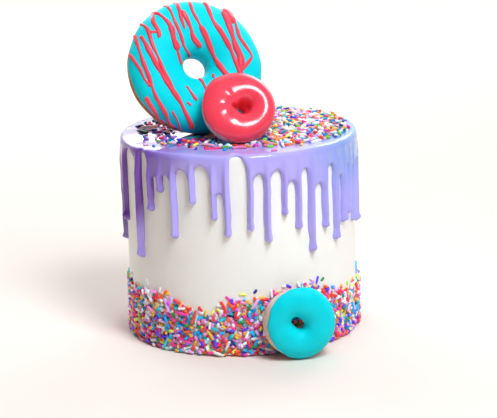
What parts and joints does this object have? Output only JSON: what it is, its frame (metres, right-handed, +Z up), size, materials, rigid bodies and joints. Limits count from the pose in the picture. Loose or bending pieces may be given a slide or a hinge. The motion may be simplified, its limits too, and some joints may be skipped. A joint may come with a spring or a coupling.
{
  "type": "drip cake",
  "caption": "Round cream-covered drip cake with pastel lilac icing drips, a sprinkle band round its foot, a sprinkled top and iced ring doughnuts on top and at its side.",
  "frame": {"origin": "centre of the cake's flat base, on the surface that it stands on", "axes": "+Z up, -Y towards the front, the side that the camera sees, +X towards the right seen from the front"},
  "size_m": [0.1545, 0.1701, 0.2128],
  "materials": {
    "cream": "smoothed buttercream, satin-matte",
    "lilac_icing": "set white-chocolate ganache, satin",
    "fried_dough": "fried dough, matt and finely wrinkled",
    "pale_dough": "pale sugar-coated dough, matt",
    "turquoise_icing": "set fondant glaze, satin",
    "coral_icing": "fresh glaze, high gloss"
  },
  "bodies": {
    "root": {"cake": "cream", "drip_icing": "lilac_icing", "big_doughnut_dough": "fried_dough", "big_doughnut_icing": "turquoise_icing", "pink_doughnut_dough": "pale_dough", "pink_doughnut_icing": "coral_icing", "side_doughnut_dough": "pale_dough", "side_doughnut_icing": "turquoise_icing"}
  },
  "joints": []
}
